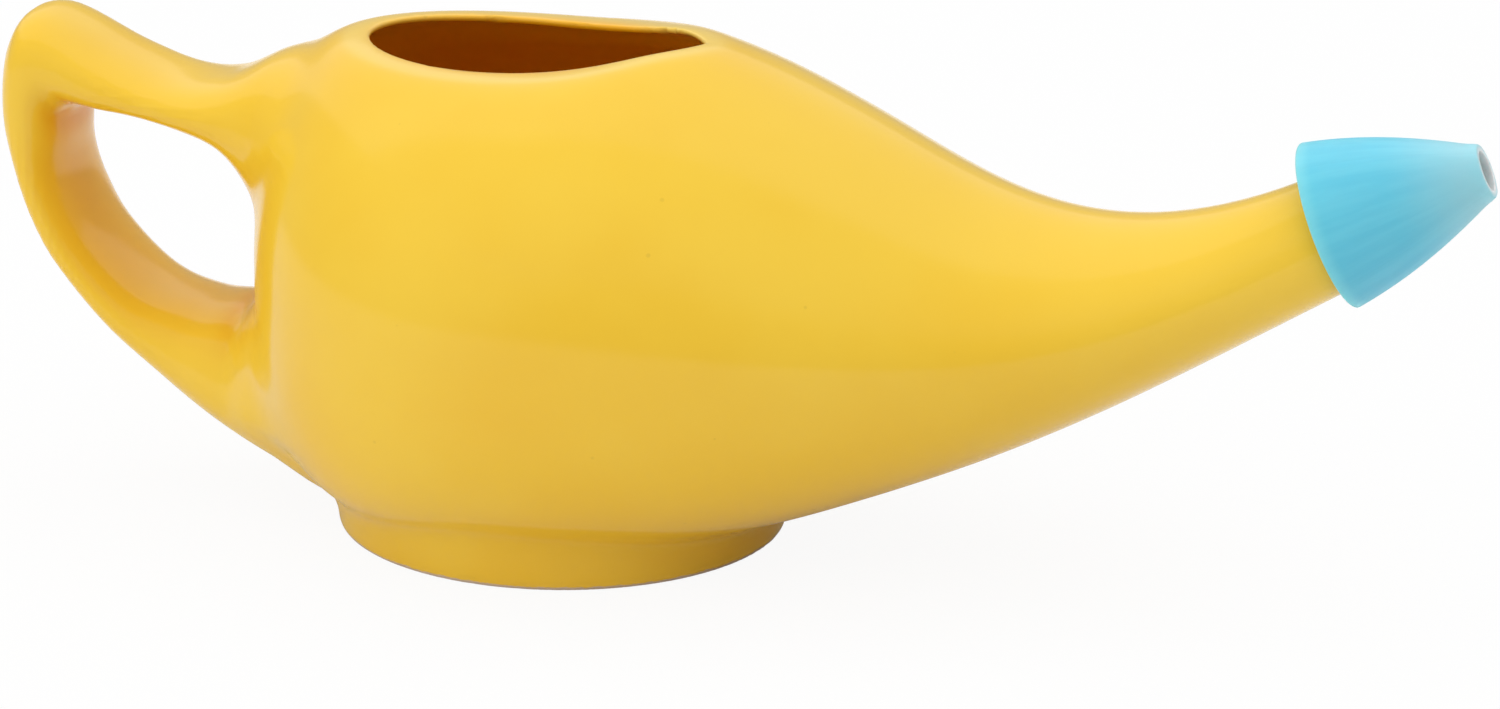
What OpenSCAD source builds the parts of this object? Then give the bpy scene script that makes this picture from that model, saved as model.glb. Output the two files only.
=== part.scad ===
/* [Body] */
// Width of the body at its widest
body_w = 84; // [76:1:92]
// Reach of the body behind the middle of the foot
body_back = 40; // [37:0.5:43]
// Height of the widest line of the body
belly_h = 34.5; // [32:0.5:36]
// Height over the rim of the body's crown, which the mouth cuts away
crown_rise = 4.7; // [3.9:0.1:6]
// Thickness of the glazed wall
wall = 3.3; // [2.6:0.1:4]
// Thickness of the floor inside the foot
floor_t = 3.6; // [2.8:0.1:4.5]

/* [Mouth] */
// Height of the rim where it is lowest
rim_h = 63.7; // [61:0.1:67]
// Rise of the rim from there to its pointed end
rim_rise = 3.5; // [2.4:0.1:3.8]
// Rise of the rim from there to its round end
rim_back_rise = 0.4; // [0.2:0.1:1.2]
// Reach of the mouth behind the middle of the foot
mouth_back = 27; // [25:0.1:29]
// Reach of the mouth's pointed end ahead of the middle of the foot
mouth_front = 18.2; // [15:0.2:20]
// Width of the mouth
mouth_w = 30.4; // [26:0.2:32]
// Rounding of the mouth's inner edge
mouth_round = 1; // [0.8:0.1:1.2]
// Thickness of the lip round the mouth
lip_t = 1.8; // [1.6:0.1:2.6]

/* [Spout] */
// Reach of the spout's end ahead of the middle of the foot
spout_reach = 107.2; // [100:0.2:114]
// Height of the middle of the spout's end
spout_end_h = 52.3; // [49:0.1:56]
// Slope of the spout at its end, in degrees
spout_slope = 24.5; // [23:0.5:28]
// Diameter of the spout's end
spout_end_d = 14.8; // [13.6:0.2:16]
// Diameter of the bore in the spout's end
spout_bore_d = 8; // [7:0.2:8.8]

/* [Handle] */
// Width of the handle's strap
strap_w = 22; // [19:0.5:25]
// Thickness of the strap where it is thinnest
strap_t = 6; // [5.4:0.1:6.6]
// Reach of the strap's outside behind the body
handle_reach = 36.2; // [34:0.2:39]
// Height of the strap's top bend over the widest line of the body
handle_top = 29.3; // [27.5:0.1:31]

/* [Foot] */
// Diameter of the foot on the table
foot_d = 59; // [54:0.5:62]
// Diameter of the foot where it meets the body
foot_top_d = 59.8; // [55:0.5:64]
// Diameter of the hollow under the foot
foot_hollow_d = 49; // [44:0.5:51]
// Depth of the hollow under the foot
foot_hollow_h = 2.2; // [1.5:0.1:2.6]
// Rounding of the foot's lower edges
foot_round = 0.6; // [0.4:0.1:1]

/* [Nose tip] */
// Length of the soft nose tip
tip_len = 21; // [19:0.5:24]
// Diameter of the tip's wide end
tip_base_d = 21.9; // [21:0.1:24]
// Diameter of the tip's narrow end
tip_end_d = 7.1; // [7:0.1:8.4]
// Diameter of the tip's outlet
tip_hole_d = 5.8; // [5:0.2:6.2]
// Wall of the tip at its wide end
tip_wall = 1; // [0.8:0.1:1.2]
// Clearance between the tip and the spout's end
tip_gap = 0.3; // [0.2:0.05:0.4]

/* [Hidden] */
glaze_colour = [0.93, 0.74, 0.25];
tip_colour = [0.42, 0.76, 0.86];
sides = 42;
back_rows = 12;
front_rows = 30;
rim_blend = 3;
// Roundness of the back in the side view, in plan and under the belly: 2 is an ellipse
back_power = 3.3;
plan_power = 2.1;
under_power = 2.45;
back_lift = 2;
// How far the upper half of a section narrows, at the crown and halfway along the spout
narrow_crown = 0.06;
narrow_spout = 0.24;
// Share of the spout's reach at which its sections begin to lean
lean_from = 0.37;
// Height of the foot's outside, of its roof and of its inner edge, all inside the body's wall
foot_h = 9.4;
foot_roof_h = 10.6;
foot_inner_h = 6;

// A point of a cubic curve with four control points
function curve(p, t) =
    pow(1 - t, 3) * p[0] + 3 * t * pow(1 - t, 2) * p[1]
    + 3 * t * t * (1 - t) * p[2] + pow(t, 3) * p[3];
// The curve's parameter at a given x, by halving the interval
function curve_at(p, x, lo = 0, hi = 1, n = 20) =
    n == 0 ? (lo + hi) / 2
    : curve(p, (lo + hi) / 2)[0] < x ? curve_at(p, x, (lo + hi) / 2, hi, n - 1)
    : curve_at(p, x, lo, (lo + hi) / 2, n - 1);
function height_at(p, x) = curve(p, curve_at(p, x))[1];
function smooth_step(t) = t <= 0 ? 0 : t >= 1 ? 1 : t * t * (3 - 2 * t);
// The lower of two heights, blended over a span k where they cross
function soft_min(a, b, k) =
    abs(a - b) >= k ? min(a, b) : min(a, b) - pow(k - abs(a - b), 2) / (4 * k);
function signed_pow(v, e) = sign(v) * pow(abs(v), e);

crown_h = rim_h + crown_rise;
// Length of the round bore behind the spout's end, and how much of it the hollow overlaps
bore_len = 12;
bore_overlap = 6;
// Half the spout's height at its end, in an upright section
end_half = spout_end_d / 2 / cos(spout_slope);
// Side view: the line over the crown and the spout
top_line = [[0, crown_h], [0.427 * spout_reach, crown_h], [0.538 * spout_reach, 28.3],
            [spout_reach, spout_end_h + end_half]];
// Side view: the line under the body and the spout
low_line = [[0, 0], [0.348 * spout_reach, 0], [0.69 * spout_reach, 24.6],
            [spout_reach, spout_end_h - end_half]];
// Plan: half the width of the body and the spout
side_line = [[0, body_w / 2], [0.37 * spout_reach, body_w / 2], [0.61 * spout_reach, 15],
             [spout_reach, spout_end_d / 2]];

// The section at x: its middle height, the height over and under it, half width, and how far
// its upper half narrows
function section(x) =
    let (u = max(0, x) / spout_reach,
         a = height_at(top_line, u * spout_reach),
         b = height_at(low_line, u * spout_reach),
         mid = (a + b) / 2 + (belly_h - crown_h / 2) * (1 - u))
    [mid, a - mid, mid - b, height_at(side_line, u * spout_reach),
     narrow_crown * (1 - u) + narrow_spout * pow(sin(180 * u), 2)];

// The ring of the body at x, set in by an amount
function ring(x, inset) =
    let (s = section(x),
         t = x < 0 ? min(1, -x / (body_back - inset)) : 0,
         tall = pow(1 - pow(t, back_power), 1 / back_power),
         wide = pow(1 - pow(t, plan_power), 1 / plan_power),
         tilt = spout_slope * smooth_step((x / spout_reach - lean_from) / (1 - lean_from)),
         over = (s[1] - inset) * tall * cos(tilt),
         under = (s[2] - inset) * tall * cos(tilt),
         half_w = (s[3] - inset) * wide,
         power = under_power + (2 - under_power) * max(0, x) / spout_reach)
    [for (i = [0 : sides - 1])
        let (a = 360 * i / sides, c = cos(a), d = sin(a),
             y = d > 0 ? half_w * c * (1 - s[4] * pow(d, 1.5))
                 : half_w * signed_pow(c, 2 / power),
             z = d > 0 ? over * d : under * signed_pow(d, 2 / power))
        [x - z * sin(tilt), y, s[0] + back_lift * t * t + z * cos(tilt)]];

// Height of the rim at x: lowest where the mouth is widest, and up to both ends of the mouth
rim_low_x = -0.3 * mouth_back;
function rim_at(x) =
    rim_h + (x > rim_low_x ? rim_rise * pow((x - rim_low_x) / (mouth_front - rim_low_x), 2)
             : rim_back_rise * pow((rim_low_x - x) / (mouth_back + rim_low_x), 2));

// Stations along the body: close together at its round back
function stations(inset, front) =
    concat([for (i = [1 : back_rows]) -(body_back - inset) * cos(90 * i / back_rows)],
           [for (i = [1 : front_rows]) front * i / front_rows]);

// The closed skin through a list of rings, from a pole to a flat end
module skin(rings, pole) {
    n = len(rings[0]);
    m = len(rings);
    end_middle = [for (k = [0 : 2]) (rings[m - 1][0][k] + rings[m - 1][n / 2][k]) / 2];
    points = concat([pole], [for (r = rings) for (p = r) p], [end_middle]);
    last = m * n + 1;
    faces = concat(
        [for (j = [0 : n - 1]) [0, 1 + j, 1 + (j + 1) % n]],
        [for (i = [0 : m - 2]) for (j = [0 : n - 1])
            let (a = 1 + i * n + j, b = 1 + i * n + (j + 1) % n) [a, a + n, b]],
        [for (i = [0 : m - 2]) for (j = [0 : n - 1])
            let (a = 1 + i * n + j, b = 1 + i * n + (j + 1) % n) [b, a + n, b + n]],
        [for (j = [0 : n - 1]) [last, last - n + (j + 1) % n, last - n + j]]);
    polyhedron(points, faces);
}

// The outside of the body and spout, with a level crown and a flat underside
module body_form() {
    rings = [for (x = stations(0, spout_reach))
        [for (p = ring(x, 0))
            [p[0], p[1], max(foot_hollow_h, soft_min(p[2], rim_at(p[0]), rim_blend))]]];
    skin(rings, [-body_back, 0, belly_h + back_lift]);
}

// The hollow inside, up to the bore of the spout
module hollow_form() {
    rings = [for (x = stations(wall, spout_reach - bore_overlap))
        [for (p = ring(x, wall))
            [p[0], p[1], max(foot_hollow_h + floor_t,
                             soft_min(p[2], rim_at(p[0]) - lip_t, rim_blend))]]];
    skin(rings, [wall - body_back, 0, belly_h + back_lift]);
}

// The points of the handle: distance behind the body and height over the belly of the strap's
// outside, direction to its inside in degrees, thickness and width
handle_line = [
    [-21.8, 10.4, -53, strap_t, 14],
    [-15.3, 20.5, -57, 2.1 * strap_t, 24],
    [-6.7, 24.8, -76, 2.33 * strap_t, strap_w + 6],
    [-1.3, 25.5, -88, 2.83 * strap_t, strap_w + 4],
    [6, 22.4, -91, 1.5 * strap_t, strap_w + 1.5],
    [12.9, 21.9, -72, strap_t, strap_w],
    [20.8, 24.6, -82, 1.3 * strap_t, strap_w],
    [handle_reach - 4.9, handle_top, -111, 2.17 * strap_t, strap_w],
    [handle_reach - 1, handle_top - 3.2, -126, 2.14 * strap_t, strap_w],
    [handle_reach, handle_top - 12.1, -153, 1.58 * strap_t, strap_w],
    [handle_reach - 1.9, 8.5, -187, 1.04 * strap_t, strap_w],
    [handle_reach - 4.5, 1.3, -215, strap_t, strap_w],
    [handle_reach - 7.7, -4.2, -211, strap_t, strap_w],
    [21.5, -12.1, -231, 1.15 * strap_t, strap_w + 1],
    [13.9, -18.6, -249, 1.78 * strap_t, strap_w + 2.5],
    [6.2, -23.8, -257, 2.54 * strap_t, strap_w + 7],
    [-2.4, -27.6, -262, 2.43 * strap_t, strap_w + 11],
    [-13.6, -32.4, -281, 2.58 * strap_t, strap_w + 10],
    [-19, -25.3, -312, 1.48 * strap_t, strap_w],
    [-22.7, -15.3, -334, strap_t, 14]];
handle_steps = 4;
handle_around = 18;
// Fullness of the strap's section: 1 is an ellipse, and less is squarer
strap_power = 0.8;

// The strap handle, a loop whose section spans from its outside line to its inside line
module handle() {
    path = [for (p = handle_line)
        [p[0], p[1], p[0] + p[3] * cos(p[2]), p[1] + p[3] * sin(p[2]), p[4]]];
    fine = concat([for (i = [1 : len(path) - 3]) for (s = [0 : handle_steps - 1])
        let (t = s / handle_steps, a = path[i - 1], b = path[i], c = path[i + 1], d = path[i + 2])
        0.5 * ((2 * b) + (c - a) * t + (2 * a - 5 * b + 4 * c - d) * t * t
               + (3 * b - a - 3 * c + d) * t * t * t)],
        [path[len(path) - 2]]);
    rings = [for (p = fine)
        [for (j = [0 : handle_around - 1])
            let (c = signed_pow(cos(360 * j / handle_around), strap_power) / 2,
                 w = signed_pow(sin(360 * j / handle_around), strap_power) * p[4] / 2)
            [-body_back - (p[0] + p[2]) / 2 - c * (p[0] - p[2]), w,
             belly_h + (p[1] + p[3]) / 2 + c * (p[1] - p[3])]]];
    skin(rings, [-body_back - (fine[0][0] + fine[0][2]) / 2, 0,
                 belly_h + (fine[0][1] + fine[0][3]) / 2]);
}

// The foot: a ring that the body stands on, up into the body's wall
module foot() {
    rotate_extrude($fn = 96)
        polygon([[foot_hollow_d / 2, foot_round], [foot_hollow_d / 2 + foot_round, 0],
                 [foot_d / 2 - foot_round, 0], [foot_d / 2, foot_round],
                 [foot_top_d / 2, foot_h], [foot_top_d / 2 - 2, foot_roof_h],
                 [foot_hollow_d / 2, foot_inner_h]]);
}

// Children stand on the spout's end, with Z along the spout
module at_spout_end() {
    translate([spout_reach, 0, spout_end_h])
        rotate([0, 90 - spout_slope, 0])
            children();
}

// The glazed pot in one piece: body, spout, loop handle and foot, hollow up to the mouth
module pot() {
    color(glaze_colour)
        difference() {
            union() {
                body_form();
                handle();
                foot();
            }
            hollow_form();
            at_spout_end()
                translate([0, 0, -bore_len])
                    cylinder(d = spout_bore_d, h = 2 * bore_len, $fn = 48);
            mouth_cut();
        }
}

// The mouth in plan: a half ellipse at the back and a curve to the pointed end
mouth_wide_x = -mouth_back / 3;
mouth_line = [[mouth_wide_x, mouth_w / 2], [mouth_wide_x + 10, mouth_w / 2],
              [0.91 * mouth_front, 0.31 * mouth_w], [mouth_front, 0]];

// The cut of the mouth: a teardrop with a rounded edge that follows the rim
module mouth_cut() {
    half = 14;
    back = [for (i = [0 : half])
        [mouth_wide_x - (mouth_back + mouth_wide_x) * cos(90 * i / half),
         mouth_w / 2 * sin(90 * i / half)]];
    front = [for (i = [1 : half]) curve(mouth_line, i / half)];
    side = concat(back, front);
    outline = concat([for (p = side) [p[0], -p[1]]],
                     [for (i = [len(side) - 2 : -1 : 1]) side[i]]);
    n = len(outline);
    grow = [[-9, 0], [-mouth_round, 0], [-mouth_round / 2, 0.13], [-0.1, 0.55], [1.5, 2.6]];
    middle = (mouth_front - mouth_back) / 2;
    rings = [for (g = grow) [for (p = outline)
        let (k = 1 + g[1] * mouth_round / (mouth_w / 2))
        [middle + (p[0] - middle) * (1 + g[1] * mouth_round / (mouth_front - middle)),
         p[1] * k, rim_at(p[0]) + g[0]]]];
    m = len(rings);
    points = concat([for (r = rings) for (p = r) p]);
    faces = concat(
        [[for (j = [0 : n - 1]) j]],
        [for (i = [0 : m - 2]) for (j = [0 : n - 1])
            let (a = i * n + j, b = i * n + (j + 1) % n) [a, a + n, b]],
        [for (i = [0 : m - 2]) for (j = [0 : n - 1])
            let (a = i * n + j, b = i * n + (j + 1) % n) [b, a + n, b + n]],
        [[for (j = [n - 1 : -1 : 0]) (m - 1) * n + j]]);
    polyhedron(points, faces);
}

// The tip's outline: distance from its wide end, and outer radius
tip_line = [[0, tip_base_d / 2], [0.32 * tip_len, tip_base_d / 2 - 0.8],
            [0.59 * tip_len, tip_end_d / 2 + 3.2], [tip_len, tip_end_d / 2]];
// Outer radius of the tip where its inside clears the edge of the spout's end
tip_seat_r = spout_end_d / 2 + tip_gap + tip_wall;
// The outline's parameter at a given radius, by halving the interval
function tip_at(r, lo = 0, hi = 1, n = 20) =
    n == 0 ? (lo + hi) / 2
    : curve(tip_line, (lo + hi) / 2)[1] > r ? tip_at(r, (lo + hi) / 2, hi, n - 1)
    : tip_at(r, lo, (lo + hi) / 2, n - 1);
// How far the tip reaches back over the spout
tip_over = curve(tip_line, tip_at(tip_seat_r))[0];
tip_rows = 16;

// The soft hollow tip that slips over the spout's end
module nose_tip() {
    line = [for (i = [0 : tip_rows]) curve(tip_line, i / tip_rows)];
    outer = [for (p = line) [p[1], p[0]]];
    inner = [for (i = [tip_rows : -1 : 0])
        [max(tip_hole_d / 2, line[i][1] - tip_wall), line[i][0]]];
    color(tip_colour)
        at_spout_end()
            translate([0, 0, -tip_over])
                rotate_extrude($fn = 96)
                    polygon(concat(outer, inner));
}

pot();
nose_tip();
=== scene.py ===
import math
import bmesh
import bpy
import numpy as np
import openvdb
from mathutils import Matrix, Vector


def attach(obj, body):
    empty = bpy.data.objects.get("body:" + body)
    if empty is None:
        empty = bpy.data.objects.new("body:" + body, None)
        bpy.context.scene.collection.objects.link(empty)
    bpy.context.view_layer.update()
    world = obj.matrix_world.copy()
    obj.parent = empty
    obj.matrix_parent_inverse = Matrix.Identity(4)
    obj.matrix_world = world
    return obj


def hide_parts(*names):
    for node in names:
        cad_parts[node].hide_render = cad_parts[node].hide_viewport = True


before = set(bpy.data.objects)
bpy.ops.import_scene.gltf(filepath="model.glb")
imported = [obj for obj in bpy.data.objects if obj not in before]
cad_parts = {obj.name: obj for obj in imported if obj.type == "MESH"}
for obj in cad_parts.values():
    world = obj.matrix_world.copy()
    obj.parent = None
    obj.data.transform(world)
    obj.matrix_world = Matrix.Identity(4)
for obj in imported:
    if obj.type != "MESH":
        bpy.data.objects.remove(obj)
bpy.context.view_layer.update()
mm = 0.001
print("frame:", sorted(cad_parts))

# Curves and blends shared by the pieces


def bezier(points, t):
    # (1-t)^3 p0 + 3t(1-t)^2 p1 + 3t^2(1-t) p2 + t^3 p3, for all t at once
    p = np.array(points, float)
    t = np.asarray(t, float)[..., None]
    return (1 - t) ** 3 * p[0] + 3 * t * (1 - t) ** 2 * p[1] + 3 * t * t * (1 - t) * p[2] + t ** 3 * p[3]


def heightOn(points, x):
    # the curve's second coordinate where its first one is x
    line = bezier(points, np.linspace(0, 1, 4001))
    return np.interp(x, line[:, 0], line[:, 1])


def smoothStep(t):
    # 3t^2 - 2t^3, with t held between 0 and 1
    t = np.clip(t, 0, 1)
    return t * t * (3 - 2 * t)


def climb(v, span):
    # a smooth climb from 0 at the span's start to 1 at its start plus its length, of either sign
    return smoothStep((v - span[0]) / span[1])


def softMin(a, b, k):
    # min(a, b) - h^3 k / 6 with h = max(k - |a - b|, 0) / k
    h = np.maximum(k - np.abs(a - b), 0) / k
    return np.minimum(a, b) - h ** 3 * k / 6


def softMax(a, b, k):
    # the same blend for max(a, b)
    return -softMin(-a, -b, k)


def powered(v, e):
    # |v|^e, with the sign of v
    return np.sign(v) * np.abs(v) ** e


# The pot's forms, in millimetres, from the same values as the solids

body = {"width": 84, "back": 40, "belly": 34.5, "crown": 68.4, "wall": 3.3, "floor": 3.6,
        "floorRound": 3, "backPower": 3.15, "planPower": 2.1, "underPower": 2.45,
        "backUnder": 0.4, "backUnderGain": 1.3, "backLift": 2, "crownPinch": 0.055, "pinch": 0.08,
        "pinchAt": 13, "pinchSpan": 20, "narrowBelly": 0.06, "narrowSpout": 0.24, "tiltFrom": 0.37,
        "rows": 420, "around": 512}
spout = {"reach": 107.2, "endHeight": 52.3, "slope": 24.5, "endDiameter": 14.8, "bore": 8,
         "boreLength": 12}
mouth = {"rim": 63.45, "rise": 4, "risePower": 2.4, "backRise": 0.9, "mostRise": 6, "lowAt": 0.3,
         "back": 26.1, "front": 18.1, "width": 28, "sideReach": 10, "taperReach": 0.8, "taperWidth": 0.3,
         "shoulder": 3, "edge": 1, "throat": 1.6, "lip": 1.1, "lipWall": 1.4, "lipReach": 8,
         "lipEdge": 1, "thinFrom": 50, "highest": 65.85}
foot = {"diameter": 59, "topDiameter": 59.8, "height": 8, "hollow": 49, "hollowDepth": 2.2,
        "edge": 1.2, "top": 12, "crease": 3, "offset": 0.45, "lean": 0.05}
# upperStart to sideTop are each a place and a length, in x or z, over which a blend's reach changes
strap = {"width": 22, "thick": 6, "reach": 36.2, "top": 29.3, "square": 0.87, "lowFillet": 4,
         "highFillet": 10, "sideFillet": 17, "crownShare": 0.45, "upperStart": (28, 16),
         "crownStart": (50, 8), "sideStart": (-46, 8), "sideFoot": (9, 7), "sideTop": (34, -8),
         "steps": 24, "around": 128}
# the distance grid, the finer heights at the lip, and the turns in degrees that are cut finer
mesh = {"step": 1.0, "low": (-82, -48, -4), "high": (114, 48, 72), "band": 14, "softEdge": 1.5,
        "lipLow": 61, "lipHigh": 67, "lipStep": 0.5, "coarse": 1.2, "rounds": 6, "turns": (24, 20),
        "probe": 0.05, "longestStep": 0.4, "flattest": 0.05}

slope = math.radians(spout["slope"])
reach = spout["reach"]
endHalf = spout["endDiameter"] / 2 / math.cos(slope)
topLine = [(0, body["crown"]), (0.427 * reach, body["crown"]), (0.538 * reach, 28.3),
           (reach, spout["endHeight"] + endHalf)]
lowLine = [(0, 0), (0.348 * reach, 0), (0.69 * reach, 24.6), (reach, spout["endHeight"] - endHalf)]
sideLine = [(0, body["width"] / 2), (0.37 * reach, body["width"] / 2), (0.61 * reach, 15),
            (reach, spout["endDiameter"] / 2)]


def bodyRings(x):
    # each ring at x: over the middle a half ellipse, as wide as 1 - narrow sin^1.5 - pinch sin^3
    # leaves it, and under it a superellipse, in a plane that leans by up to the spout's slope;
    # behind x = 0 both shrink as (1 - t^n)^(1/n) with t = -x / back, and the lower one gets fuller
    a = np.linspace(0, 2 * np.pi, body["around"], endpoint=False)[None, :]
    x = x[:, None]
    u = np.maximum(x, 0) / reach
    top = heightOn(topLine, u * reach)
    low = heightOn(lowLine, u * reach)
    middle = (top + low) / 2 + (body["belly"] - body["crown"] / 2) * (1 - u)
    t = np.clip(-x / body["back"], 0, 1)
    tall = (1 - t ** body["backPower"]) ** (1 / body["backPower"])
    wide = (1 - t ** body["planPower"]) ** (1 / body["planPower"])
    tilt = slope * smoothStep((x / reach - body["tiltFrom"]) / (1 - body["tiltFrom"]))
    over = (top - middle) * tall * np.cos(tilt)
    under = (middle - low) * tall * np.cos(tilt)
    half = heightOn(sideLine, u * reach) * wide
    fuller = body["backUnder"] * smoothStep(body["backUnderGain"] * t)
    power = body["underPower"] + (2 - body["underPower"]) * u + fuller
    pinch = body["crownPinch"] * (1 - u) + body["pinch"] * np.exp(
        -((x - body["pinchAt"]) / body["pinchSpan"]) ** 2)
    narrow = body["narrowBelly"] * (1 - u) + body["narrowSpout"] * np.sin(np.pi * u) ** 2
    c, d = np.cos(a), np.sin(a)
    up = d > 0
    pulledIn = 1 - narrow * np.abs(d) ** 1.5 - pinch * np.abs(d) ** 3
    y = np.where(up, half * c * pulledIn, half * powered(c, 2 / power))
    z = np.where(up, over * d, under * powered(d, 2 / power))
    lift = middle + body["backLift"] * t * t
    return np.stack([x - z * np.sin(tilt), y + 0 * x, lift + z * np.cos(tilt)], -1)


def closedSkin(rings):
    # quads along and around a grid of rings, with a fan of triangles closing each end
    m, n = rings.shape[:2]
    points = rings.reshape(-1, 3)
    ends = np.stack([rings[0].mean(0), rings[-1].mean(0)])
    i, j = np.meshgrid(np.arange(m - 1), np.arange(n), indexing="ij")
    k = (j + 1) % n
    quads = np.stack([i * n + j, (i + 1) * n + j, (i + 1) * n + k, i * n + k], -1).reshape(-1, 4)
    j = np.arange(n)
    k = (j + 1) % n
    first = np.stack([np.full(n, m * n), j, k], -1)
    last = np.stack([np.full(n, m * n + 1), (m - 1) * n + k, (m - 1) * n + j], -1)
    return np.concatenate([points, ends]), quads, np.concatenate([first, last])


def strapRings():
    # each point of the strap gives its outside, behind the body and over the belly, the direction
    # to its inside in degrees, its thickness and its width; a Catmull-Rom curve runs through the
    # outside and inside points, and a superellipse spans from one to the other
    t, r, h, w = strap["thick"], strap["reach"], strap["top"], strap["width"]
    line = np.array([
        (-21.8, 10.4, -53, t, 14), (-15.3, 20.5, -57, 2.1 * t, 24), (-6.7, 24.8, -76, 2.33 * t, w + 6),
        (-1.3, 25.5, -88, 2.83 * t, w + 4), (6, 22.4, -91, 1.5 * t, w + 1.5),
        (12.9, 21.9, -72, t, w), (20.8, 24.6, -82, 1.3 * t, w),
        (r - 4.9, h, -111, 2.17 * t, w), (r - 1, h - 3.2, -126, 2.14 * t, w),
        (r, h - 12.1, -153, 1.58 * t, w), (r - 1.9, 8.5, -187, 1.04 * t, w),
        (r - 4.5, 1.3, -215, t, w), (r - 7.7, -4.2, -211, t, w),
        (21.5, -12.1, -231, 1.15 * t, w + 1), (13.9, -18.6, -249, 1.78 * t, w + 2.5),
        (6.2, -23.8, -257, 2.54 * t, w + 7), (-2.4, -27.6, -262, 2.43 * t, w + 11),
        (-13.6, -32.4, -281, 2.58 * t, w + 10), (-19, -25.3, -312, 1.48 * t, w),
        (-22.7, -15.3, -334, t, 14)], float)
    turn = np.radians(line[:, 2])
    inside = line[:, :2] + line[:, 3:4] * np.stack([np.cos(turn), np.sin(turn)], -1)
    path = np.concatenate([line[:, :2], inside, line[:, 4:]], 1)
    s = np.linspace(0, 1, strap["steps"], endpoint=False)[None, :, None]
    a, b, c, d = (path[k:len(path) - 3 + k][:, None, :] for k in range(4))
    fine = 0.5 * (2 * b + (c - a) * s + (2 * a - 5 * b + 4 * c - d) * s ** 2
                  + (3 * b - a - 3 * c + d) * s ** 3)
    fine = np.concatenate([fine.reshape(-1, 5), path[-2:-1]])
    angle = np.linspace(0, 2 * np.pi, strap["around"], endpoint=False)[None, :]
    across = powered(np.cos(angle), strap["square"]) / 2
    side = powered(np.sin(angle), strap["square"]) * fine[:, 4:] / 2
    back = (fine[:, 0:1] + fine[:, 2:3]) / 2 + across * (fine[:, 0:1] - fine[:, 2:3])
    rise = (fine[:, 1:2] + fine[:, 3:4]) / 2 + across * (fine[:, 1:2] - fine[:, 3:4])
    return np.stack([-body["back"] - back, side, body["belly"] + rise], -1)


gridLow = np.array(mesh["low"], float)
gridSize = np.round((np.array(mesh["high"]) - gridLow) / mesh["step"]).astype(int) + 1


def distanceGrid(points, quads, triangles):
    # signed distance from a closed skin at every grid point, negative inside
    move = openvdb.createLinearTransform(voxelSize=mesh["step"])
    level = openvdb.FloatGrid.createLevelSetFromPolygons(
        points.astype(np.float32), triangles.astype(np.uint32), quads.astype(np.uint32),
        transform=move, halfWidth=float(mesh["band"]))
    out = np.zeros(tuple(gridSize), np.float32)
    level.copyToArray(out, ijk=tuple(int(v) for v in np.round(gridLow / mesh["step"])))
    return out


def sampled(grid, p):
    # trilinear value of a grid at points p, which are kept just within its last cells
    q = (p - gridLow) / mesh["step"]
    q = np.clip(q, 0, gridSize - 1.001)
    i = q.astype(int)
    f = q - i
    x, y, z = i.T
    total = np.zeros(len(p))
    for dx in (0, 1):
        for dy in (0, 1):
            for dz in (0, 1):
                weight = (np.abs(1 - dx - f[:, 0]) * np.abs(1 - dy - f[:, 1])
                          * np.abs(1 - dz - f[:, 2]))
                total += weight * grid[x + dx, y + dy, z + dz]
    return total


# The teardrop of the mouth in plan, as a closed outline
backPart = np.linspace(0, np.pi / 2, 120)
mouthWide = -mouth["back"] / 3
mouthBack = np.stack([mouthWide - (mouth["back"] + mouthWide) * np.cos(backPart),
                      mouth["width"] / 2 * np.sin(backPart)], -1)
mouthTaper = (mouth["taperReach"] * mouth["front"], mouth["taperWidth"] * mouth["width"])
mouthFront = bezier([(mouthWide, mouth["width"] / 2), (mouthWide + mouth["sideReach"], mouth["width"] / 2),
                     mouthTaper, (mouth["front"], 0)], np.linspace(0, 1, 160)[1:])
mouthSide = np.concatenate([mouthBack, mouthFront])


def mouthDistance(x, y):
    # distance in plan from the teardrop, negative inside it, by the nearest of its segments
    a, b = mouthSide[:-1], mouthSide[1:]
    run = b - a
    p = np.stack([x, np.abs(y)], -1)
    best = np.full(len(x), np.inf)
    for first, step in zip(a, run):
        t = np.clip(((p - first) @ step) / (step @ step), 0, 1)
        best = np.minimum(best, np.hypot(*(p - first - t[:, None] * step).T))
    half = np.interp(x, mouthSide[:, 0], mouthSide[:, 1], left=-1, right=-1)
    return np.where(np.abs(y) < half, -best, best)


planStep = 0.25
planX = np.arange(-60, 60, planStep)
planY = np.arange(0, 50, planStep)
planGrid = mouthDistance(*(v.ravel() for v in np.meshgrid(planX, planY, indexing="ij")))
planGrid = planGrid.reshape(len(planX), len(planY))


def mouthField(x, y):
    # the same distance, read from a fine plan grid
    u = np.clip((x - planX[0]) / planStep, 0, len(planX) - 1.001)
    v = np.clip(np.abs(y) / planStep, 0, len(planY) - 1.001)
    i, j = u.astype(int), v.astype(int)
    f, g = u - i, v - j
    return ((1 - f) * (1 - g) * planGrid[i, j] + f * (1 - g) * planGrid[i + 1, j]
            + (1 - f) * g * planGrid[i, j + 1] + f * g * planGrid[i + 1, j + 1])


def rimHeight(x):
    # lowest a little behind the middle, and rising as a power of the distance both ways
    low = -mouth["lowAt"] * mouth["back"]
    ahead = mouth["rise"] * (np.maximum(x - low, 0) / (mouth["front"] - low)) ** mouth["risePower"]
    behind = mouth["backRise"] * ((low - x) / (mouth["back"] + low)) ** 2
    most = mouth["mostRise"]
    return mouth["rim"] + np.where(x > low, np.minimum(ahead, most), np.minimum(behind, most))


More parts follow.
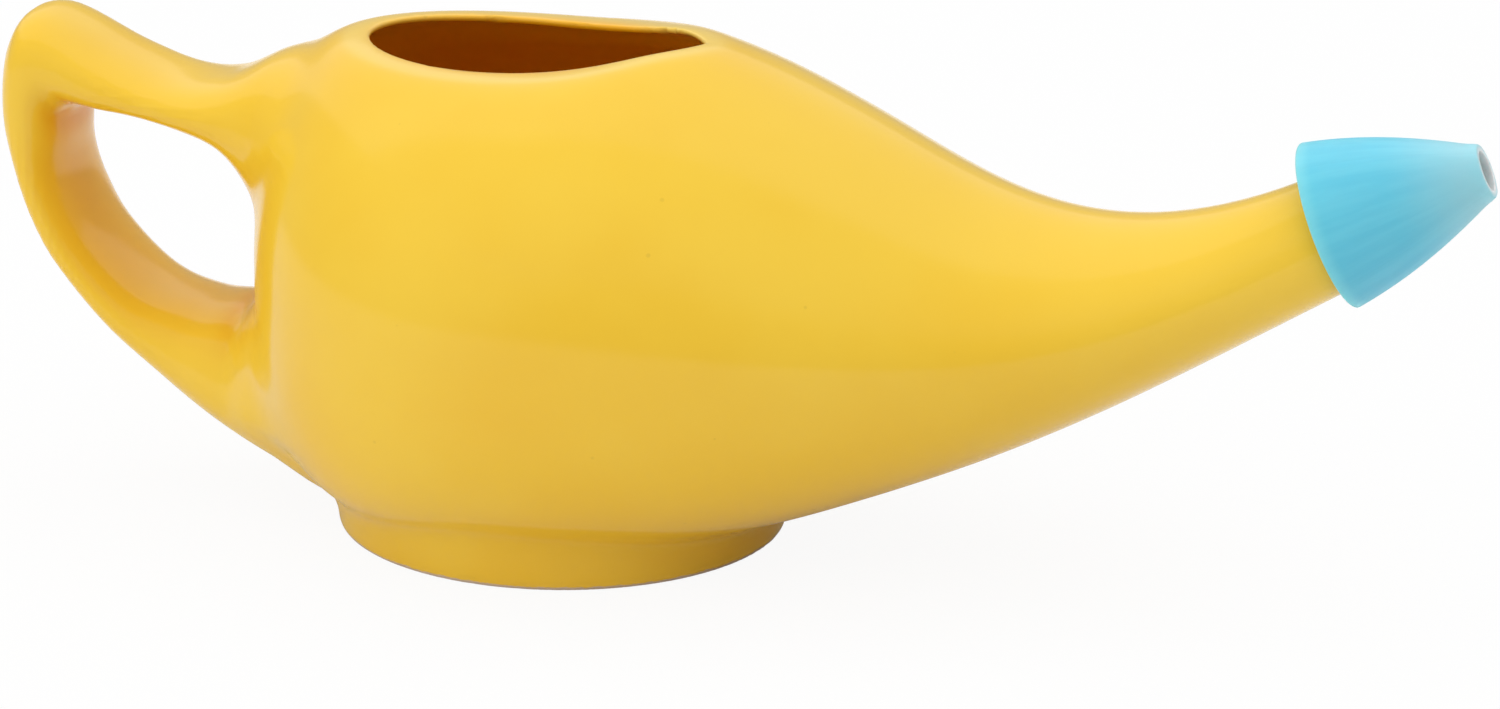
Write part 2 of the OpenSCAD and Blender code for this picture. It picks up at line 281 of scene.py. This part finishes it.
def strapFillet(x, z):
    # the reach of the blend of strap and body: small at the foot, large at the sides of the lower
    # root and at the upper root, and smaller again at the crown
    low, high, side = (strap[k] for k in ("lowFillet", "highFillet", "sideFillet"))
    upper = climb(z, strap["upperStart"]) - strap["crownShare"] * climb(z, strap["crownStart"])
    lower = climb(x, strap["sideStart"]) * climb(z, strap["sideTop"]) * climb(z, strap["sideFoot"])
    return low + (high - low) * upper + (side - low) * lower


def potField(p, toBody, toStrap):
    # the blended signed distance of the whole pot at points p: the body and the strap, cut by the
    # rim, with the foot's ring, less the hollow inside, the bore and the mouth
    x, y, z = p.T
    radius = np.hypot(x + foot["offset"] + foot["lean"] * z, y)
    shell = softMax(toBody, foot["hollowDepth"] - z, mesh["softEdge"])
    solid = softMin(shell, toStrap, strapFillet(x, z))
    solid = softMax(solid, z - rimHeight(x), mouth["shoulder"])
    solid = softMax(solid, z - mouth["highest"], mouth["edge"])
    outer = (foot["diameter"] + (foot["topDiameter"] - foot["diameter"]) * z / foot["height"]) / 2
    inner = foot["hollow"] / 2
    ring = softMax(softMax(radius - outer, -z, foot["edge"]), inner - radius, foot["edge"])
    ring = np.maximum(ring, z - foot["top"])
    solid = softMin(solid, ring, foot["crease"])
    beside = mouthField(x, y)
    thinned = smoothStep(1 - beside / mouth["lipReach"]) * (z > mouth["thinFrom"])
    wall = body["wall"] - (body["wall"] - mouth["lipWall"]) * thinned
    cavity = softMax(toBody + wall, foot["hollowDepth"] + body["floor"] - z, body["floorRound"])
    cavity = softMax(cavity, z - rimHeight(x) + mouth["lip"], mouth["lipEdge"])
    along = (x - reach) * math.cos(slope) + (z - spout["endHeight"]) * math.sin(slope)
    rise = (z - spout["endHeight"]) * math.cos(slope) - (x - reach) * math.sin(slope)
    bore = np.maximum(np.hypot(y, rise) - spout["bore"] / 2, -along - spout["boreLength"])
    cavity = softMin(cavity, bore, mesh["softEdge"])
    throat = np.maximum(beside, mouth["thinFrom"] - z)
    cavity = softMin(cavity, throat, mouth["throat"])
    return softMax(solid, -cavity, mouth["edge"])


def makeMesh(name, points, faces):
    # a smooth mesh from arrays of points in millimetres and faces of four or three corners
    data = bpy.data.meshes.new(name)
    corners = faces.shape[1]
    data.vertices.add(len(points))
    data.vertices.foreach_set("co", (points * mm).astype(np.float32).ravel())
    data.loops.add(faces.size)
    data.loops.foreach_set("vertex_index", faces.astype(np.int32).ravel())
    data.polygons.add(len(faces))
    data.polygons.foreach_set("loop_start", np.arange(0, faces.size, corners, dtype=np.int32))
    data.polygons.foreach_set("use_smooth", np.ones(len(faces), bool))
    data.update(calc_edges=True)
    data.validate()
    piece = bpy.data.objects.new(name, data)
    bpy.context.scene.collection.objects.link(piece)
    return piece


bend = np.sin(np.linspace(-np.pi / 2, 0, body["rows"] // 2))
ringPlaces = np.concatenate([body["back"] * bend[1:], np.linspace(0, reach, body["rows"])[1:]])
bodyGrid = distanceGrid(*closedSkin(bodyRings(ringPlaces)))
strapGrid = distanceGrid(*closedSkin(strapRings()))
print("distance grids:", gridSize)


def potValue(p):
    return potField(p, sampled(bodyGrid, p), sampled(strapGrid, p))


def potSlope(p):
    # the field's value and its rate of change along x, y and z
    delta = mesh["probe"]
    here = potValue(p)
    return here, np.stack([potValue(p + delta * axis) - here for axis in np.eye(3)], -1) / delta


def onSurface(p):
    # one step of each point along the field's slope to its zero
    here, slopes = potSlope(p)
    most = mesh["longestStep"]
    step = np.clip(here / np.maximum((slopes ** 2).sum(1), mesh["flattest"]), -most, most)
    return p - step[:, None] * slopes


def evened(points, edges, rounds):
    # each point goes halfway to the mean of its neighbours, and back onto the surface
    count = np.bincount(edges.ravel(), minlength=len(points))[:, None]
    for _ in range(rounds):
        total = np.zeros_like(points)
        for axis in range(3):
            total[:, axis] = (
                np.bincount(edges[:, 0], points[edges[:, 1], axis], len(points))
                + np.bincount(edges[:, 1], points[edges[:, 0], axis], len(points)))
        points = onSurface(points + 0.5 * (total / count - points))
    return onSurface(onSurface(points))


def surfaceQuads():
    # the zero of the field as quads, from lower cells at the thin lip; the search takes all cells
    # as equal, and their real heights are put back after it
    axes = [np.arange(mesh["low"][k], mesh["high"][k], mesh["coarse"]) for k in range(3)]
    heights = axes[2]
    axes[2] = np.concatenate([heights[heights < mesh["lipLow"]],
                              np.arange(mesh["lipLow"], mesh["lipHigh"], mesh["lipStep"]),
                              heights[heights >= mesh["lipHigh"]]])
    everywhere = np.stack([v.ravel() for v in np.meshgrid(*axes, indexing="ij")], -1)
    field = potValue(everywhere).reshape([len(axis) for axis in axes])
    level = openvdb.FloatGrid(float(mesh["band"]))
    level.copyFromArray(field.astype(np.float32))
    points, quads = level.convertToQuads(isovalue=0.0)
    points = np.stack([np.interp(points[:, k], np.arange(len(axis)), axis)
                       for k, axis in enumerate(axes)], -1)
    edges = np.concatenate([quads[:, [0, 1]], quads[:, [1, 2]], quads[:, [2, 3]], quads[:, [3, 0]]])
    edges = np.unique(np.sort(edges, 1), axis=0).astype(int)
    return evened(points, edges, mesh["rounds"]), quads[:, ::-1]


def pointsOf(data):
    flat = np.empty(len(data.vertices) * 3, np.float32)
    data.vertices.foreach_get("co", flat)
    return flat.reshape(-1, 3).astype(float) / mm


def cutSharpFaces(data, limit):
    # faces over which the surface turns by more than the limit are cut in four
    points = pointsOf(data)
    slopes = potSlope(points)[1]
    normals = slopes / np.linalg.norm(slopes, axis=1)[:, None]
    edges = np.empty(len(data.edges) * 2, np.int32)
    data.edges.foreach_get("vertices", edges)
    edges = edges.reshape(-1, 2)
    turns = (normals[edges[:, 0]] * normals[edges[:, 1]]).sum(1) < math.cos(math.radians(limit))
    work = bmesh.new()
    work.from_mesh(data)
    work.edges.ensure_lookup_table()
    faces = [face for i in np.nonzero(turns)[0] for face in work.edges[i].link_faces]
    sides = [work.edges[i] for i in sorted({edge.index for face in faces for edge in face.edges})]
    bmesh.ops.subdivide_edges(work, edges=sides, cuts=1, use_grid_fill=True)
    bmesh.ops.triangulate(work, faces=[face for face in work.faces if len(face.verts) > 4])
    work.to_mesh(data)
    work.free()
    points = onSurface(onSurface(pointsOf(data)))
    data.vertices.foreach_set("co", (points * mm).astype(np.float32).ravel())
    data.update()


potPoints, potQuads = surfaceQuads()
pot = makeMesh("glazed_pot", potPoints, potQuads)
print("first quads:", len(potQuads))
for limit in mesh["turns"]:
    cutSharpFaces(pot.data, limit)
print("pot:", len(pot.data.vertices), "points", len(pot.data.polygons), "faces")


# how far off and under the surface the field is read, in millimetres, and how much it counts, for the
# masks of painted shade and painted highlight
paintedLightMasks = {"near": 3, "far": 9, "under": 1.2, "hollowGain": 0.8, "edgeGain": 1.2,
            "insideSpan": (0.3, 0.6)}


def storeMask(data, name, values):
    layer = data.attributes.new(name, "FLOAT", "POINT")
    layer.data.foreach_set("value", np.clip(values, 0, 1).astype(np.float32))


def markPaintedLight(data):
    # the field's value some way off the surface is less than that way in a hollow, and its value
    # some way under the surface is less than that way at an edge; inside, the depth under the
    # body's skin is counted in walls. The hollow and inside masks place painted shade, the edge
    # mask a painted highlight
    points = pointsOf(data)
    slopes = potSlope(points)[1]
    normals = slopes / np.linalg.norm(slopes, axis=1)[:, None]
    near, far, under = paintedLightMasks["near"], paintedLightMasks["far"], paintedLightMasks["under"]
    hollow = (1 - potValue(points + near * normals) / near) + (
        1 - potValue(points + far * normals) / far)
    edge = 1 + potValue(points - under * normals) / under
    inside = climb(-sampled(bodyGrid, points) / body["wall"], paintedLightMasks["insideSpan"])
    storeMask(data, "hollow", hollow * paintedLightMasks["hollowGain"])
    storeMask(data, "edge", edge * paintedLightMasks["edgeGain"])
    storeMask(data, "inside", inside)


markPaintedLight(pot.data)

# The soft tip, turned about the spout's axis, in millimetres and degrees
tip = {"length": 21, "base": 21.8, "end": 6.5, "hole": 5.1, "wall": 1, "gap": 0.3, "slip": 0.2,
       "flare": 0.2, "flareLength": 1.8, "rows": 40, "around": 128, "round": 0.18,
       "roundSteps": 3, "roundFrom": 40}
tipLine = [(0, tip["base"] / 2), (0.3 * tip["length"], tip["base"] / 2 - 1.2),
           (0.6 * tip["length"], tip["end"] / 2 + 4.4), (tip["length"], tip["end"] / 2)]


def makeTip():
    # the outline runs up the outside, a Bezier curve with a small flare at the outlet, and down the
    # inside, a wall further in; it turns about the axis as (s, r cos a, r sin a)
    t = np.linspace(0, 1, tip["rows"])
    outer = bezier(tipLine, t)
    outer[:, 1] += tip["flare"] * smoothStep((outer[:, 0] - tip["length"]) / tip["flareLength"] + 1)
    seat = spout["endDiameter"] / 2 + tip["gap"] + tip["wall"]
    over = np.interp(-seat, -outer[:, 1], outer[:, 0])
    inner = np.stack([outer[:, 0], np.maximum(tip["hole"] / 2, outer[:, 1] - tip["wall"])], -1)[::-1]
    line = np.concatenate([outer, inner])
    a = np.linspace(0, 2 * np.pi, tip["around"], endpoint=False)
    s = line[:, 0:1] - over - tip["slip"]
    r = line[:, 1:2]
    x = reach + s * math.cos(slope) - r * np.cos(a) * math.sin(slope)
    z = spout["endHeight"] + s * math.sin(slope) + r * np.cos(a) * math.cos(slope)
    points = np.stack([x, r * np.sin(a), z], -1).reshape(-1, 3)
    m, n = len(line), tip["around"]
    i, j = np.meshgrid(np.arange(m), np.arange(n), indexing="ij")
    k, nextRow = (j + 1) % n, (i + 1) % m
    quads = np.stack([i * n + j, i * n + k, nextRow * n + k, nextRow * n + j], -1)
    within = np.repeat(np.arange(m) >= m // 2, n)
    return points, quads.reshape(-1, 4), within


tipPoints, tipQuads, tipWithin = makeTip()
noseTip = makeMesh("soft_tip", tipPoints, tipQuads)
storeMask(noseTip.data, "within", tipWithin)
rims = noseTip.modifiers.new("rims", "BEVEL")
rims.width = tip["round"] * mm
rims.segments = tip["roundSteps"]
rims.limit_method = "ANGLE"
rims.angle_limit = math.radians(tip["roundFrom"])
print("tip:", len(tipPoints), "points")

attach(pot, "pot")
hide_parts("pot")
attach(noseTip, "nose_tip")
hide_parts("nose_tip")


def newMaterial(name):
    material = bpy.data.materials.new(name)
    material.use_nodes = True
    nodes = material.node_tree.nodes
    return material, nodes, material.node_tree.links, nodes["Principled BSDF"]


def makeGroup(name, inputs, outputs):
    # an empty node group with named number inputs and number outputs
    group = bpy.data.node_groups.new(name, "ShaderNodeTree")
    for label, value in inputs.items():
        socket = group.interface.new_socket(label, in_out="INPUT", socket_type="NodeSocketFloat")
        socket.default_value = value
    for label in outputs:
        group.interface.new_socket(label, in_out="OUTPUT", socket_type="NodeSocketFloat")
    return group, group.nodes.new("NodeGroupInput"), group.nodes.new("NodeGroupOutput")


def mathNode(tree, operation, first, second):
    node = tree.nodes.new("ShaderNodeMath")
    node.operation = operation
    for slot, value in zip(node.inputs, (first, second)):
        if isinstance(value, (int, float)):
            slot.default_value = value
        else:
            tree.links.new(value, slot)
    return node.outputs[0]


def rangeNode(tree, value, low, high, toLow=0.0, toHigh=1.0):
    # a smooth climb from toLow to toHigh as the value goes from low to high
    node = tree.nodes.new("ShaderNodeMapRange")
    node.interpolation_type = "SMOOTHSTEP"
    tree.links.new(value, node.inputs["Value"])
    for label, number in (("From Min", low), ("From Max", high), ("To Min", toLow), ("To Max", toHigh)):
        node.inputs[label].default_value = number
    return node.outputs["Result"]


def mixNode(tree, factor, first, second):
    node = tree.nodes.new("ShaderNodeMix")
    node.data_type = "RGBA"
    tree.links.new(factor, node.inputs["Factor"])
    for slot, value in zip((node.inputs[6], node.inputs[7]), (first, second)):
        if isinstance(value, tuple):
            slot.default_value = (*value, 1)
        else:
            tree.links.new(value, slot)
    return node.outputs[2]


def makeUnevenness():
    # soft clouds of two sizes and sparse round specks, for any surface; the scales are per metre
    group, inlet, outlet = makeGroup(
        "unevenness", {"Cloud Scale": 30.0, "Grain Scale": 700.0, "Speck Scale": 150.0,
                       "Speck Size": 0.05, "Speck Share": 0.3}, ("Clouds", "Grain", "Specks"))
    coords = group.nodes.new("ShaderNodeTexCoord").outputs["Object"]
    for label, detail in (("Cloud", 3.0), ("Grain", 2.0)):
        noise = group.nodes.new("ShaderNodeTexNoise")
        noise.inputs["Detail"].default_value = detail
        group.links.new(coords, noise.inputs["Vector"])
        group.links.new(inlet.outputs[label + " Scale"], noise.inputs["Scale"])
        group.links.new(noise.outputs["Fac"], outlet.inputs["Clouds" if label == "Cloud" else "Grain"])
    cells = group.nodes.new("ShaderNodeTexVoronoi")
    group.links.new(coords, cells.inputs["Vector"])
    group.links.new(inlet.outputs["Speck Scale"], cells.inputs["Scale"])
    parted = group.nodes.new("ShaderNodeSeparateColor")
    group.links.new(cells.outputs["Color"], parted.inputs["Color"])
    size = mathNode(group, "MULTIPLY", parted.outputs["Green"], inlet.outputs["Speck Size"])
    closeness = mathNode(group, "SUBTRACT", size, cells.outputs["Distance"])
    disc = mathNode(group, "DIVIDE", closeness, size)
    dot = rangeNode(group, disc, 0.0, 0.6)
    chosen = mathNode(group, "LESS_THAN", parted.outputs["Red"], inlet.outputs["Speck Share"])
    group.links.new(mathNode(group, "MULTIPLY", dot, chosen), outlet.inputs["Specks"])
    return group


unevenness = makeUnevenness()


def placeUnevenness(tree, values):
    node = tree.nodes.new("ShaderNodeGroup")
    node.node_tree = unevenness
    for label, value in values.items():
        node.inputs[label].default_value = value
    return node.outputs


def attribute(tree, name):
    node = tree.nodes.new("ShaderNodeAttribute")
    node.attribute_name = name
    return node.outputs["Fac"]


def addBump(tree, height, amount, below=None):
    # the amount is the strength and the distance in metres
    bump = tree.nodes.new("ShaderNodeBump")
    bump.inputs["Strength"].default_value, bump.inputs["Distance"].default_value = amount
    tree.links.new(height, bump.inputs["Height"])
    if below is not None:
        tree.links.new(below, bump.inputs["Normal"])
    return bump.outputs["Normal"]


# heights, and the second value of each bump, are in metres
# the deep and insideDeep colours are painted shade in the hollows and inside, and the pale edge colour is
# a painted highlight
glazeLook = {"plain": (0.9, 0.585, 0.045), "cloud": (0.88, 0.545, 0.032), "deep": (0.84, 0.4, 0.008),
             "insideDeep": (0.92, 0.43, 0.006), "paintedEdgeHighlight": (0.9, 0.66, 0.16), "speck": (0.5, 0.3, 0.03),
             "clay": (0.66, 0.52, 0.41), "clayTop": 0.0007, "clayBlend": 0.0002, "ragged": 0.0005,
             "rough": 0.13, "clayRough": 0.6, "cloudRough": 0.04, "edgeHighlightShare": 0.5, "deepShare": 0.7,
             "speckShare": 0.22, "cloudSpan": (0.35, 0.65), "edgeSpan": (0.15, 1.0),
             "hollowSpan": (0.1, 0.9), "ior": 1.45, "waves": (0.25, 0.0004), "pits": (0.15, 0.0001),
             "skin": (0.06, 0.0001)}
glazeUneven = {"Cloud Scale": 28.0, "Grain Scale": 900.0, "Speck Scale": 210.0, "Speck Size": 0.1,
               "Speck Share": 0.4}


def yellowGlaze():
    # deeper orange in the hollows and inside as painted shade, paler over the edges as a painted
    # highlight, bare clay under the foot
    material, nodes, links, shader = newMaterial("yellow_glaze")
    tree = material.node_tree
    uneven = placeUnevenness(tree, glazeUneven)
    look = glazeLook
    clouds = rangeNode(tree, uneven["Clouds"], *look["cloudSpan"])
    color = mixNode(tree, clouds, look["plain"], look["cloud"])
    # painted highlight: paler, whiter colour over the sharp edges
    paintedEdgeHighlight = rangeNode(tree, attribute(tree, "edge"), *look["edgeSpan"], 0.0, look["edgeHighlightShare"])
    color = mixNode(tree, paintedEdgeHighlight, color, look["paintedEdgeHighlight"])
    # painted shade: deeper orange in the hollows, where shade falls
    thick = rangeNode(tree, attribute(tree, "hollow"), *look["hollowSpan"], 0.0, look["deepShare"])
    color = mixNode(tree, thick, color, look["deep"])
    # painted shade: deeper orange over the inside of the pot
    color = mixNode(tree, attribute(tree, "inside"), color, look["insideDeep"])
    specks = mathNode(tree, "MULTIPLY", uneven["Specks"], look["speckShare"])
    color = mixNode(tree, specks, color, look["speck"])
    place = nodes.new("ShaderNodeSeparateXYZ")
    links.new(nodes.new("ShaderNodeTexCoord").outputs["Object"], place.inputs[0])
    ragged = mathNode(tree, "MULTIPLY", uneven["Grain"], look["ragged"])
    height = mathNode(tree, "ADD", place.outputs["Z"], ragged)
    bare = rangeNode(tree, height, look["clayTop"], look["clayTop"] + look["clayBlend"], 1.0, 0.0)
    color = mixNode(tree, bare, color, look["clay"])
    links.new(color, shader.inputs["Base Color"])
    rough = mathNode(tree, "ADD", mathNode(tree, "MULTIPLY", bare, look["clayRough"]), look["rough"])
    cloudy = mathNode(tree, "MULTIPLY", uneven["Clouds"], look["cloudRough"])
    links.new(mathNode(tree, "ADD", rough, cloudy), shader.inputs["Roughness"])
    shader.inputs["IOR"].default_value = look["ior"]
    waves = addBump(tree, uneven["Clouds"], look["waves"])
    pits = addBump(tree, mathNode(tree, "MULTIPLY", uneven["Specks"], -1.0), look["pits"], waves)
    links.new(addBump(tree, uneven["Grain"], look["skin"], pits), shader.inputs["Normal"])
    return material


# the runs are in metres, below the axis and from the tip's ends
# the thick colour is painted shade on the lower side; the outlet and white colours are painted light
# shining through near the outlet
siliconeLook = {"body": (0.17, 0.65, 0.86), "deep": (0.14, 0.6, 0.82), "pale": (0.26, 0.72, 0.88),
                "thick": (0.07, 0.43, 0.65), "outlet": (0.36, 0.7, 0.8), "white": (0.92, 0.96, 0.97),
                "lowerShadeShare": 0.45, "lowerShadeRun": 0.011, "paleShare": 0.6, "paleRun": (0.0002, 0.002),
                "outletShare": 0.9, "outletRun": 0.012, "whiteRun": (0.006, 0.001),
                "lineSpan": (0.3, 0.7), "linesAround": 5.0, "linesAlong": 60.0, "rough": 0.38,
                "cloudRough": 0.1, "ridges": (0.06, 0.0003), "skin": (0.08, 0.0001)}
siliconeShader = {"IOR": 1.41, "Specular IOR Level": 0.3, "Subsurface Weight": 0.5,
                  "Subsurface Radius": (0.6, 1.0, 1.0), "Subsurface Scale": 0.003,
                  "Transmission Weight": 0.04}
siliconeUneven = {"Cloud Scale": 60.0, "Grain Scale": 1500.0, "Speck Scale": 400.0, "Speck Size": 0.1,
                  "Speck Share": 0.1}


def blueSilicone():
    # paler in a band at the wide end's rim, paler toward the outlet and whitish inside it as painted light
    # shining through, darker on its lower side as painted shade, with faint lines along it from the mould
    material, nodes, links, shader = newMaterial("blue_silicone")
    tree = material.node_tree
    look = siliconeLook
    uneven = placeUnevenness(tree, siliconeUneven)
    turn = nodes.new("ShaderNodeMapping")
    turn.vector_type = "TEXTURE"
    turn.inputs["Location"].default_value = (reach * mm, 0, spout["endHeight"] * mm)
    turn.inputs["Rotation"].default_value = (0, -slope, 0)
    links.new(nodes.new("ShaderNodeTexCoord").outputs["Object"], turn.inputs["Vector"])
    place = nodes.new("ShaderNodeSeparateXYZ")
    links.new(turn.outputs[0], place.inputs[0])
    around = mathNode(tree, "ARCTAN2", place.outputs["Y"], place.outputs["Z"])
    lines = nodes.new("ShaderNodeTexNoise")
    lines.noise_dimensions = "2D"
    lines.inputs["Scale"].default_value = 1.0
    lines.inputs["Detail"].default_value = 3.0
    spread = nodes.new("ShaderNodeCombineXYZ")
    links.new(mathNode(tree, "MULTIPLY", around, look["linesAround"]), spread.inputs["X"])
    links.new(mathNode(tree, "MULTIPLY", place.outputs["X"], look["linesAlong"]), spread.inputs["Y"])
    links.new(spread.outputs[0], lines.inputs["Vector"])
    start, end = tipSpan
    streaks = rangeNode(tree, lines.outputs["Fac"], *look["lineSpan"])
    color = mixNode(tree, streaks, look["body"], look["deep"])
    # painted shade: darker, deeper blue on the lower side
    lower = rangeNode(tree, place.outputs["Z"], -look["lowerShadeRun"], 0.0, look["lowerShadeShare"], 0.0)
    color = mixNode(tree, lower, color, look["thick"])
    paleRun = [start + run for run in look["paleRun"]]
    rim = rangeNode(tree, place.outputs["X"], *paleRun, look["paleShare"], 0.0)
    color = mixNode(tree, rim, color, look["pale"])
    # painted light: paler toward the outlet, where light shines through
    front = rangeNode(tree, place.outputs["X"], end - look["outletRun"], end, 0.0, look["outletShare"])
    color = mixNode(tree, front, color, look["outlet"])
    # painted light: whitish inner wall near the outlet, where light shines through the wall
    nearOutlet = rangeNode(tree, place.outputs["X"], *(end - run for run in look["whiteRun"]))
    color = mixNode(tree, mathNode(tree, "MULTIPLY", attribute(tree, "within"), nearOutlet), color,
                    look["white"])
    links.new(color, shader.inputs["Base Color"])
    cloudy = mathNode(tree, "MULTIPLY", uneven["Clouds"], look["cloudRough"])
    links.new(mathNode(tree, "ADD", cloudy, look["rough"]), shader.inputs["Roughness"])
    for label, value in siliconeShader.items():
        shader.inputs[label].default_value = value
    ridges = addBump(tree, lines.outputs["Fac"], look["ridges"])
    links.new(addBump(tree, uneven["Grain"], look["skin"], ridges), shader.inputs["Normal"])
    return material


alongTip = ((tipPoints[:, 0] - reach) * math.cos(slope)
            + (tipPoints[:, 2] - spout["endHeight"]) * math.sin(slope)) * mm
tipSpan = (float(alongTip.min()), float(alongTip.max()))
pot.data.materials.append(yellowGlaze())
noseTip.data.materials.append(blueSilicone())
print("materials made")

# Floor, light and camera, in metres
stage = {"floor": 6.0, "floorColor": (0.85, 0.85, 0.85), "floorRough": 0.9, "whiteShare": 0.93,
         "mirrorShare": 0.12, "worldLight": 0.38, "aim": (0.02, 0, 0.03)}
floorSize = stage["floor"]
floorMesh = bpy.data.meshes.new("floor")
floorMesh.from_pydata([(-floorSize, -floorSize, 0), (floorSize, -floorSize, 0),
                       (floorSize, floorSize, 0), (-floorSize, floorSize, 0)], [], [(0, 1, 2, 3)])
ground = bpy.data.objects.new("floor", floorMesh)
bpy.context.scene.collection.objects.link(ground)
white, nodes, links, shader = newMaterial("white_floor")
shader.inputs["Base Color"].default_value = (*stage["floorColor"], 1)
shader.inputs["Roughness"].default_value = stage["floorRough"]
# the floor shows white to the camera and through the silicone, and partly in the glaze
path = nodes.new("ShaderNodeLightPath")
glow = nodes.new("ShaderNodeEmission")
glow.inputs["Color"].default_value = (1, 1, 1, 1)
mirrored = mathNode(white.node_tree, "MULTIPLY", path.outputs["Is Glossy Ray"], stage["mirrorShare"])
seen = mathNode(white.node_tree, "MAXIMUM", path.outputs["Is Camera Ray"], mirrored)
seen = mathNode(white.node_tree, "MAXIMUM", seen, path.outputs["Is Transmission Ray"])
mix = nodes.new("ShaderNodeMixShader")
links.new(mathNode(white.node_tree, "MULTIPLY", seen, stage["whiteShare"]), mix.inputs[0])
links.new(shader.outputs[0], mix.inputs[1])
links.new(glow.outputs[0], mix.inputs[2])
links.new(mix.outputs[0], nodes["Material Output"].inputs["Surface"])
floorMesh.materials.append(white)

world = bpy.data.worlds.new("studio")
bpy.context.scene.world = world
world.use_nodes = True
nodes, links = world.node_tree.nodes, world.node_tree.links
background = nodes["Background"]
background.inputs["Color"].default_value = (1, 1, 1, 1)
path = nodes.new("ShaderNodeLightPath")
strength = nodes.new("ShaderNodeMapRange")
strength.inputs["To Min"].default_value = stage["worldLight"]
strength.inputs["To Max"].default_value = 1.0
links.new(path.outputs["Is Camera Ray"], strength.inputs["Value"])
links.new(strength.outputs[0], background.inputs["Strength"])

# each lamp's place, width, height and power, and whether the glaze mirrors it
lamps = {"top_box": ((0.12, -0.15, 1.0), 2.0, 1.6, 10, False),
         "left_box": ((-0.9, -1.2, 0.6), 1.8, 1.4, 8, False),
         "back_box": ((-0.1, 0.64, 0.95), 2.6, 1.45, 6, True)}


def softLamp(name, place, width, height, power, mirrored):
    lamp = bpy.data.lights.new(name, "AREA")
    lamp.shape = "RECTANGLE"
    lamp.size, lamp.size_y, lamp.energy = width, height, power
    holder = bpy.data.objects.new(name, lamp)
    holder.location = place
    ahead = Vector(stage["aim"]) - Vector(place)
    holder.rotation_euler = ahead.to_track_quat("-Z", "Y").to_euler()
    holder.visible_glossy = mirrored
    bpy.context.scene.collection.objects.link(holder)


for name, values in lamps.items():
    softLamp(name, *values)
print("stage made")

# angles in degrees, the focal length, shift and width in the photo's pixels, other lengths in metres,
# and the sensor in millimetres
view = {"azimuth": 14.704, "elevation": 17.738, "distance": 0.65344, "roll": 0.8435,
        "target": (0.02479, 0, 0.02530), "focal": 5037.65, "shift": -5.275, "wide": 1500, "sensor": 36}
az, el, roll = (math.radians(view[k]) for k in ("azimuth", "elevation", "roll"))
back = Vector((math.sin(az) * math.cos(el), -math.cos(az) * math.cos(el), math.sin(el)))
right = Vector((math.cos(az), math.sin(az), 0))
up = back.cross(right)
turnedRight = right * math.cos(roll) + up * math.sin(roll)
turnedUp = up * math.cos(roll) - right * math.sin(roll)
lens = bpy.data.cameras.new("camera")
lens.sensor_width = view["sensor"]
lens.lens = view["focal"] / view["wide"] * view["sensor"]
lens.shift_y = view["shift"] / view["wide"]
camera = bpy.data.objects.new("camera", lens)
place = Vector(view["target"]) + back * view["distance"]
camera.matrix_world = Matrix((
    (turnedRight.x, turnedUp.x, back.x, place.x), (turnedRight.y, turnedUp.y, back.y, place.y),
    (turnedRight.z, turnedUp.z, back.z, place.z), (0, 0, 0, 1)))
bpy.context.scene.collection.objects.link(camera)
bpy.context.scene.camera = camera
bpy.context.scene.view_settings.view_transform = "Standard"
